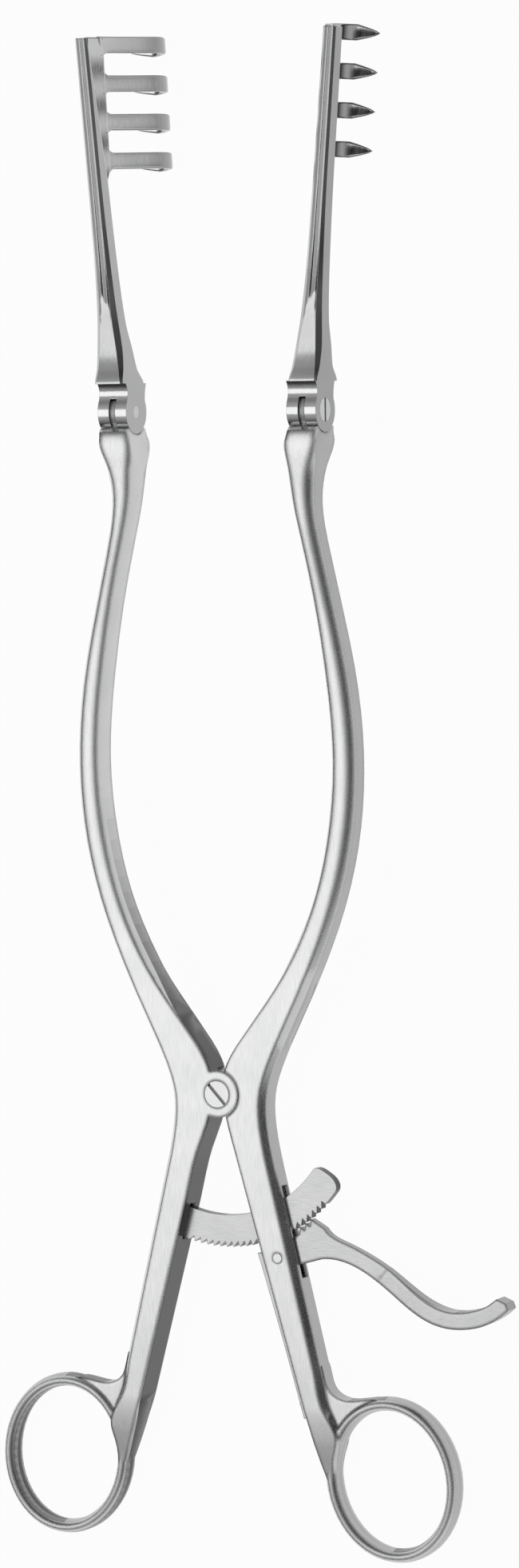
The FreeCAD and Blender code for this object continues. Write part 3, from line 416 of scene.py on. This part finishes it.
leaf = merged_copy("leaf_spring")
for step in range(LEAF_CUTS):
    cut_across(leaf, ACROSS_Y, (LEAF_FIRST_CUT + step) * MM)
set_edges(leaf)
mark_flanks(leaf, RIGHT, LEAF_SHADE, LEAF_SHADE)
leaf_piece = make_piece(leaf, "leaf_spring_bending", spring_steel)
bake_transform(leaf_piece, "right_handle", "lever", LEAF_FOOT, LEAF_TIP)
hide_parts("leaf_spring")
print("leaf bends over", round((LEAF_TIP - LEAF_FOOT).length / MM, 1), "mm")


# %% [markdown]
# Each blade ends in four hooked prongs. A smith draws such a prong out of the slanted plate of
# the comb, bends it round a mandrel and sharpens its last few millimetres. A flat extrusion can't
# show the round edges and the taper, so every prong here is a run of rounded sections: down the
# slant, round the hook and thinner towards the point, each section bridged to the next.

# %% The sizes of the comb
BLADE_EDGE = 27.0 * MM
BLADE_LEAN = 6.8 / 77.1
BAR_TOP = 6.7 * MM
PLATE = 1.5 * MM
PLATE_DEPTH = 4.2 * MM
SLOPE = math.radians(65)
SLOPE_SWAY = math.radians(-3.5)
STRAIGHT = 17.5 * MM
HOOK_RADIUS = 6.0 * MM
HOOK_TURN = math.radians(125)
TIP = 4.5 * MM
TAPER = 5.6 * MM
PRONG_WIDTH = 3.35 * MM
PRONG_PITCH = 7.93 * MM
PRONG_COUNT = 4
MIDDLE_RADIUS = HOOK_RADIUS - PLATE / 2
PRONG_LENGTH = STRAIGHT + HOOK_TURN * MIDDLE_RADIUS + TIP
blade_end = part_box("right_blade_arm")[1].y
print("blade ends at", round(blade_end / MM, 2), "mm")
print("a prong is", round(PRONG_LENGTH / MM, 1), "mm long")


# %% Where a prong runs
PATH_STEP = 0.1 * MM


def prong_path(distance):
    """Middle of the band, and its heading, at a distance along the prong from the bar's edge.
    The first value runs inward from the bar and the second one down. The slope is slightly arched:
    it starts steep and gets flatter, then it turns round the hook."""
    spot = Vector((0.0, 0.0))
    done = 0.0
    while True:
        if done < STRAIGHT:
            heading = SLOPE + SLOPE_SWAY * (2 * done / STRAIGHT - 1)
        else:
            heading = SLOPE + SLOPE_SWAY + min((done - STRAIGHT) / MIDDLE_RADIUS, HOOK_TURN)
        if done >= distance:
            return spot - Vector((math.sin(heading), -math.cos(heading))) * (PLATE / 2), heading
        part = min(PATH_STEP, distance - done)
        spot += Vector((math.cos(heading), math.sin(heading))) * part
        done += part


print("a hook ends", round(prong_path(PRONG_LENGTH)[0].y / MM, 1), "mm below the bar's top")

# %% [markdown]
# A section is a circle whose points are moved onto a rectangle with round corners, because a
# circle is what the operator makes and its points come in order. All sections have the same
# number of points, so two neighbours can be bridged without a twist, and only the first and last
# are closed.

# %% A band of rounded sections, bridged one to the next
SECTION_POINTS = 24
CORNER_POINTS = SECTION_POINTS // 4
FACES_SIDEWAYS = 0.5
# Painted shade on the narrow sides of every band.
NARROW_SIDE_SHADE = 0.6


def rounded(index, half_wide, half_high, corner):
    """Point of a rectangle with round corners, with as many points at each corner."""
    corner = min(corner, half_wide, half_high)
    quarter, place = divmod(index, CORNER_POINTS)
    angle = math.pi / 2 * (quarter + place / (CORNER_POINTS - 1))
    centre_x = (half_wide - corner) * (1, -1, -1, 1)[quarter]
    centre_y = (half_high - corner) * (1, 1, -1, -1)[quarter]
    return centre_x + corner * math.cos(angle), centre_y + corner * math.sin(angle)


def add_band(forging, sections, shares):
    """Every section maps the number of a point to its place, and every strip between two sections
    gets its share of painted shade. The two narrow sides always get painted shade."""
    layer = forging.faces.layers.float["flank"]
    rims = []
    for section in sections:
        closed = section in (sections[0], sections[-1])
        rim = bmesh.ops.create_circle(
            forging, cap_ends=closed, segments=SECTION_POINTS, radius=1.0)["verts"]
        for index, vert in enumerate(rim):
            vert.co = section(index)
        rims.append(list(dict.fromkeys(edge for vert in rim for edge in vert.link_edges)))
    for rim, next_rim, share in zip(rims, rims[1:], shares):
        for face in bmesh.ops.bridge_loops(forging, edges=rim + next_rim)["faces"]:
            face.normal_update()
            face[layer] = share if abs(face.normal.y) < FACES_SIDEWAYS else NARROW_SIDE_SHADE


print("a section has", SECTION_POINTS, "points,", CORNER_POINTS, "at each corner")

# %% [markdown]
# A prong gets painted shade along its way: a little at the plate, much at the bend, none on the
# back of the hook and much at the point. The pairs below say how much painted shade it gets at which
# share of its length, and the values between two pairs follow a straight line.

# %% How much painted shade a prong gets along its way
PRONG_SHADE_STEPS = (
    (0.0, 0.05), (0.4, 0.3), (0.52, 0.55), (0.66, 0.2), (0.84, 0.0), (0.9, 0.1), (1.0, 0.6),
)


def prong_shade(way):
    for (start, low), (end, high) in zip(PRONG_SHADE_STEPS, PRONG_SHADE_STEPS[1:]):
        if way <= end:
            return low + (high - low) * (way - start) / (end - start)
    return PRONG_SHADE_STEPS[-1][1]


# The share of painted shade halfway along a prong.
print("dullness halfway along a prong:", round(prong_shade(0.5), 2))

# %% [markdown]
# The two combs aren't exact mirror images: a smith sets each one by hand, so they lean and point
# a little differently. One function places a point for both, by its distance along the blade,
# inward from the bar and down. Near the plate the sections of a prong are wider, which leaves the
# small round corners between two prongs. The outer side of the first prong has none, because the
# bar ends there.

# %% One prong
COMB_LEAN = {LEFT: 0.052, RIGHT: 0.088}
PRONG_SET = {LEFT: -0.01, RIGHT: 0.055}
FIRST_PRONG_SET_BACK = 0.1 * MM
ROOT_SECTIONS, ROOT_STEP, ROOT_OVERLAP = 9, 0.35 * MM, 0.7 * MM
BAND_SECTIONS = 34
ROOT_FLARE, ROOT_LENGTH, ROOT_CURVE = 0.9 * MM, 2.0 * MM, 3
PRONG_CORNER = 0.45 * MM
TIP_WIDTH, TIP_THICKNESS, HOOK_THINNING = 0.03, 0.15, 0.5
WIDTH_CURVE, THICKNESS_CURVE = 0.7, 0.5


def blade_point(side, y, inward, down):
    edge = BLADE_EDGE - COMB_LEAN[side] * (blade_end - y)
    return Vector((side * (edge - inward), y + BLADE_LEAN * inward + PRONG_SET[side] * down,
                   BAR_TOP - down))


def band_point(side, y, spot, through):
    """A point at a spot of the prong's path and through the band's thickness."""
    middle, heading = spot
    return blade_point(side, y, middle.x + through * math.sin(heading),
                       middle.y - through * math.cos(heading))


def prong_sections(side, number):
    middle_y = blade_end - FIRST_PRONG_SET_BACK - PRONG_WIDTH / 2 - number * PRONG_PITCH
    stops = [PLATE_DEPTH - ROOT_OVERLAP + ROOT_STEP * step for step in range(ROOT_SECTIONS)]
    rest = PRONG_LENGTH - stops[-1]
    stops += [stops[-1] + rest * step / BAND_SECTIONS for step in range(1, BAND_SECTIONS + 1)]

    def at(stop):
        spot = prong_path(stop)
        flare = ROOT_FLARE * (1 - clamp((stop - PLATE_DEPTH) / ROOT_LENGTH)) ** ROOT_CURVE
        to_tip = clamp((PRONG_LENGTH - stop) / TAPER)
        in_hook = clamp((stop - STRAIGHT) / (PRONG_LENGTH - STRAIGHT))
        wide = PRONG_WIDTH / 2 * (TIP_WIDTH + (1 - TIP_WIDTH) * to_tip ** WIDTH_CURVE)
        thick = PLATE / 2 * (1 - HOOK_THINNING * in_hook)
        thick *= TIP_THICKNESS + (1 - TIP_THICKNESS) * to_tip ** THICKNESS_CURVE

        def place(index):
            across, through = rounded(index, wide, thick, PRONG_CORNER)
            if across < 0 or number > 0:
                across += math.copysign(flare, across)
            return band_point(side, middle_y + across, spot, through)
        return place
    return [at(stop) for stop in stops], [prong_shade(stop / PRONG_LENGTH) for stop in stops]


print("sections in a prong:", ROOT_SECTIONS + BAND_SECTIONS)

# %% [markdown]
# The slanted plate runs along the bar and carries all four prongs. On the real blade it fades
# into the bar below the last prong, so its sections get less deep there along a curve.

# %% The slanted plate that carries all four
PLATE_END = ((0.35 * MM, 0.95), (0.6 * MM, 1.0))
PLATE_STEPS = 12
PLATE_FADE = 12 * MM
PLATE_OVERLAP = 0.3 * MM
PLATE_EXTRA = 0.03 * MM
PLATE_CORNER = 0.4 * MM
# Painted shade on the slanted plate.
PLATE_SHADE = 0.08
FADED_SHARE, FADE_POWER = 0.75, 1.2


def plate_sections(side):
    low = blade_end - (PRONG_COUNT - 1) * PRONG_PITCH - PRONG_WIDTH
    stops = [(blade_end - back, share) for back, share in PLATE_END]
    for step in range(1, PLATE_STEPS + 1):
        stops.append((blade_end + (low - blade_end) * step / PLATE_STEPS, 1.0))
    for step in range(1, PLATE_STEPS + 1):
        fade = math.sin(math.pi / 2 * step / PLATE_STEPS) ** FADE_POWER
        stops.append((low - PLATE_FADE * step / PLATE_STEPS, 1 - FADED_SHARE * fade))

    def at(y, share):
        depth = (PLATE_DEPTH + PLATE_OVERLAP) * share

        def place(index):
            along, through = rounded(index, depth / 2, PLATE / 2 + PLATE_EXTRA, PLATE_CORNER)
            return band_point(side, y, prong_path(depth / 2 + along), through)
        return place
    return [at(y, share) for y, share in stops], [PLATE_SHADE] * len(stops)


print("sections in a plate:", len(PLATE_END) + 2 * PLATE_STEPS)

# %% [markdown]
# The fork and the lower bar keep their measured shape. Above that the comb is cut off and the bar
# is drawn out again: the cut rim is extruded to the far end, where it gets smaller and leans
# outward as measured, so the flutes run on without a seam. An extruded rim needs no new points,
# and the bar stays one closed mesh. The forged plate and prongs are then set on it.

# %% The bar, drawn out to its end
BAR_CUT = 30.6 * MM
BAR_SET_BACK = 0.45 * MM
END_WIDTH, END_THICKNESS = 2.8 * MM, 3.8 * MM
END_ROUND = 0.2 * MM


def draw_out_bar(forging, side):
    cut_y = blade_end - BAR_CUT
    end_y = blade_end - BAR_SET_BACK
    cut_across(forging, ACROSS_Y, cut_y, clear_outer=True)
    rim = [edge for edge in forging.edges if edge.is_boundary]
    xs = [vert.co.x for edge in rim for vert in edge.verts]
    zs = [vert.co.z for edge in rim for vert in edge.verts]
    middle_x = (min(xs) + max(xs)) / 2
    far_x = middle_x + side * BLADE_LEAN * (end_y - cut_y)
    top = max(zs)
    slim = END_WIDTH / (max(xs) - min(xs))
    thin = END_THICKNESS / (top - min(zs))
    drawn = bmesh.ops.extrude_edge_only(forging, edges=rim)["geom"]
    for vert in [item for item in drawn if isinstance(item, bmesh.types.BMVert)]:
        vert.co = Vector((far_x + (vert.co.x - middle_x) * slim, end_y,
                          top - (top - vert.co.z) * thin))
    end_rim = [item for item in drawn if isinstance(item, bmesh.types.BMEdge) and item.is_boundary]
    bmesh.ops.holes_fill(forging, edges=end_rim, sides=0)
    bmesh.ops.recalc_face_normals(forging, faces=forging.faces)
    bmesh.ops.bevel(forging, geom=end_rim, offset=END_ROUND, offset_type="OFFSET", segments=3,
                    profile=0.5, affect="EDGES", material=-1)
    print("rim of", len(rim), "edges, left open:", sum(edge.is_boundary for edge in forging.edges))


# %% Painted shade on the front of the foot
FOOT_MIDDLE_Y, FOOT_REACH = 157 * MM, 14 * MM
FOOT_SHADE = 0.3
FACES_FRONT = 0.6


def shade_foot(forging):
    """The front of the foot gets a little painted shade, most of all at its middle."""
    layer = forging.faces.layers.float["flank"]
    for face in forging.faces:
        if face.normal.z > FACES_FRONT:
            away = abs(face.calc_center_median().y - FOOT_MIDDLE_Y) / FOOT_REACH
            face[layer] = FOOT_SHADE * max(0.0, 1 - away * away)


# The middle of the foot gets the most painted shade.
print("the foot is dullest", round(FOOT_MIDDLE_Y / MM), "mm from the lap joint")


# %% The whole blade
# Shares of painted shade on the inner and outer sides of the blades.
BLADE_INNER_SHADE, BLADE_OUTER_SHADE = 0.35, 0.5


def forge_blade(side, node_name):
    forging = merged_copy(node_name)
    draw_out_bar(forging, side)
    set_edges(forging)
    mark_flanks(forging, side, BLADE_INNER_SHADE, BLADE_OUTER_SHADE)
    shade_foot(forging)
    bar_faces = set(forging.faces)
    add_band(forging, *plate_sections(side))
    for number in range(PRONG_COUNT):
        add_band(forging, *prong_sections(side, number))
    comb_faces = [face for face in forging.faces if face not in bar_faces]
    print(node_name, "comb has", len(comb_faces), "faces")
    bmesh.ops.recalc_face_normals(forging, faces=comb_faces)
    for face in comb_faces:
        cap = len(face.verts) == SECTION_POINTS
        face.smooth = not cap
        for edge in face.edges:
            edge.smooth = edge.smooth and not cap
    return forging


# %% [markdown]
# A prong is a band with flat sides and round corners. Smooth shading alone would spread the
# corners over the flats and give dark streaks. The Weighted Normal modifier lets the large flat
# faces set the shading, so the flats look flat and only the corners turn. It works on the comb
# alone, because the bar's long triangles shade better without it.

# %% Both blades
COMB_FROM = 30 * MM

for side, side_name in ((LEFT, "left"), (RIGHT, "right")):
    node_name = side_name + "_blade_arm"
    piece = make_piece(forge_blade(side, node_name), node_name + "_forged", blade_steel)
    ride_for(piece, side_name + "_blade", node_name)
    comb_points = [vert.index for vert in piece.data.vertices if vert.co.y > blade_end - COMB_FROM]
    piece.vertex_groups.new(name="comb").add(comb_points, 1.0, "REPLACE")
    flats = piece.modifiers.new("true_flats", "WEIGHTED_NORMAL")
    flats.keep_sharp = True
    flats.vertex_group = "comb"


# %% [markdown]
# The instrument lies on its finger rings and on its prongs, which point down. The floor is the
# plane through those places, so it leans a few degrees against the instrument. Turning the
# instrument would be the other way, but the measured pieces may not move.

# %% The floor that it lies on
RING_REST, RING_BACK = 16 * MM, 0.5 * MM
PRONG_REST, FLOOR_GAP = 14 * MM, 0.2 * MM
FLOOR_SIZE = 6.0

ring_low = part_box("right_handle_arm")[0]
blade_low, blade_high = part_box("right_blade_arm")
ring_rest = Vector((0, ring_low.y + RING_REST, RING_BACK))
prong_rest = Vector((0, blade_high.y - PRONG_REST, blade_low.z - FLOOR_GAP))
lean = math.atan2(prong_rest.z - ring_rest.z, prong_rest.y - ring_rest.y)
floor_mesh = bmesh.new()
bmesh.ops.create_grid(floor_mesh, x_segments=1, y_segments=1, size=FLOOR_SIZE / 2)
bmesh.ops.rotate(floor_mesh, verts=floor_mesh.verts, matrix=Matrix.Rotation(lean, 3, "X"))
bmesh.ops.translate(floor_mesh, verts=floor_mesh.verts, vec=ring_rest)
floor_data = bpy.data.meshes.new("floor")
floor_mesh.to_mesh(floor_data)
floor_mesh.free()
floor = bpy.data.objects.new("floor", floor_data)
bpy.context.scene.collection.objects.link(floor)
print("floor leans", round(math.degrees(lean), 2), "degrees")

# %% [markdown]
# The background of the picture is white, and more light on the floor would also burn out the
# steel. So the floor glows white only where the camera looks at it, or where metal mirrors it,
# and under all other rays it is a plain pale floor. A small share stays plain everywhere, which
# keeps the shadow of the instrument.

# %% A white floor that keeps the shadow
FLOOR_TONE = (0.86, 0.86, 0.86, 1)
FLOOR_ROUGHNESS = 0.9
GLOW_SHARE = 0.96

floor_material = bpy.data.materials.new("floor_white")
floor_material.use_nodes = True
floor_tree = floor_material.node_tree
floor_shader = floor_tree.nodes["Principled BSDF"]
floor_shader.inputs["Base Color"].default_value = FLOOR_TONE
floor_shader.inputs["Roughness"].default_value = FLOOR_ROUGHNESS
white_glow = add_node(floor_tree, "ShaderNodeEmission", {"Color": (1, 1, 1, 1), "Strength": 1.0})
ray = floor_tree.nodes.new("ShaderNodeLightPath")
seen = ray.outputs["Is Camera Ray"]
for kind in ("Is Glossy Ray", "Is Transmission Ray"):
    either = floor_tree.nodes.new("ShaderNodeMath")
    either.operation = "ADD"
    either.use_clamp = True
    floor_tree.links.new(seen, either.inputs[0])
    floor_tree.links.new(ray.outputs[kind], either.inputs[1])
    seen = either.outputs["Value"]
glow_share = add_node(floor_tree, "ShaderNodeMath", {1: GLOW_SHARE})
glow_share.operation = "MULTIPLY"
white_floor = floor_tree.nodes.new("ShaderNodeMixShader")
floor_end = floor_tree.nodes["Material Output"]
floor_tree.links.new(seen, glow_share.inputs[0])
floor_tree.links.new(glow_share.outputs["Value"], white_floor.inputs["Fac"])
floor_tree.links.new(floor_shader.outputs["BSDF"], white_floor.inputs[1])
floor_tree.links.new(white_glow.outputs["Emission"], white_floor.inputs[2])
floor_tree.links.new(white_floor.outputs["Shader"], floor_end.inputs["Surface"])
floor_data.materials.append(floor_material)
print("floor glows by", GLOW_SHARE)


# %% [markdown]
# Steel shows what stands around it. One wide soft box above the left arm is what the flat faces
# mirror, so they come out bright and even. Nothing stands on the right, and the slopes that turn
# that way draw the dark lines that make the metal read as metal.

# %% The soft box
SOFT_BOX_PLACE = Vector((-0.75, 0.05, 1.35))
SOFT_BOX_SIZE = (0.9, 1.1)
SOFT_BOX_WATTS = 3.2
LIT_SPOT = Vector((0.0, 0.06, 0.0))

box_data = bpy.data.lights.new("soft_box", "AREA")
box_data.shape = "RECTANGLE"
box_data.size, box_data.size_y = SOFT_BOX_SIZE
box_data.energy = SOFT_BOX_WATTS
soft_box = bpy.data.objects.new("soft_box", box_data)
soft_box.location = SOFT_BOX_PLACE
soft_box.rotation_euler = (LIT_SPOT - SOFT_BOX_PLACE).to_track_quat("-Z", "Y").to_euler()
bpy.context.scene.collection.objects.link(soft_box)
print("soft box stands", round((SOFT_BOX_PLACE - LIT_SPOT).length, 2), "m away")

# %% [markdown]
# The rest of the studio is the world's colour. In an even room all slopes would mirror the same
# grey, so this one has a pale ceiling and a dark horizon: a face that tips away from the camera
# gets darker smoothly, the more it turns.

# %% A room with a pale ceiling and a dark horizon
HORIZON_HEIGHT, CEILING_HEIGHT = 0.3, 0.9
HORIZON_TONE, CEILING_TONE = 0.05, 0.55

world = bpy.data.worlds.new("studio")
bpy.context.scene.world = world
world.use_nodes = True
world_tree = world.node_tree
room = world_tree.nodes["Background"]
room.inputs["Strength"].default_value = 1.0
direction = world_tree.nodes.new("ShaderNodeTexCoord")
height = world_tree.nodes.new("ShaderNodeSeparateXYZ")
ceiling = add_node(world_tree, "ShaderNodeMapRange", {
    "From Min": HORIZON_HEIGHT, "From Max": CEILING_HEIGHT,
    "To Min": HORIZON_TONE, "To Max": CEILING_TONE,
})
ceiling.interpolation_type = "SMOOTHSTEP"
world_tree.links.new(direction.outputs["Generated"], height.inputs["Vector"])
world_tree.links.new(height.outputs["Z"], ceiling.inputs["Value"])
world_tree.links.new(ceiling.outputs["Result"], room.inputs["Color"])
print("ceiling tone", CEILING_TONE, "horizon tone", HORIZON_TONE)


# %% [markdown]
# The photographer stood to the right of the instrument and a little towards its blades, about a
# metre away. The nearer right arm looks slightly larger than the left one, and that is what fixes
# the distance: from there both arms come out as mirror images. The picture itself is turned by
# three quarters of a degree.

# %% The camera
VIEW_TURN = math.radians(26.634)
VIEW_RISE = math.radians(3.955)
VIEW_ROLL = math.radians(0.75)
VIEW_DISTANCE = 1.1
VIEW_HEIGHT = 0.3193
VIEW_CENTRE = Vector((0.010784, 0.064108, 0.0074))

away = Vector((math.sin(VIEW_TURN) * math.cos(VIEW_RISE), math.sin(VIEW_RISE),
               math.cos(VIEW_TURN) * math.cos(VIEW_RISE)))
right = Vector((math.cos(VIEW_TURN), 0, -math.sin(VIEW_TURN)))
up = away.cross(right)
rolled_up = up * math.cos(VIEW_ROLL) + right * math.sin(VIEW_ROLL)
rolled_right = right * math.cos(VIEW_ROLL) - up * math.sin(VIEW_ROLL)
turn = Matrix((rolled_right, rolled_up, away)).transposed().to_4x4()
camera_data = bpy.data.cameras.new("camera")
camera_data.sensor_fit = "VERTICAL"
camera_data.angle_y = 2 * math.atan(VIEW_HEIGHT / 2 / VIEW_DISTANCE)
camera = bpy.data.objects.new("camera", camera_data)
camera.matrix_world = Matrix.Translation(VIEW_CENTRE + away * VIEW_DISTANCE) @ turn
bpy.context.scene.collection.objects.link(camera)
bpy.context.scene.camera = camera
bpy.context.scene.view_settings.view_transform = "Standard"
print("camera sees", round(math.degrees(camera_data.angle_y), 2), "degrees from top to bottom")
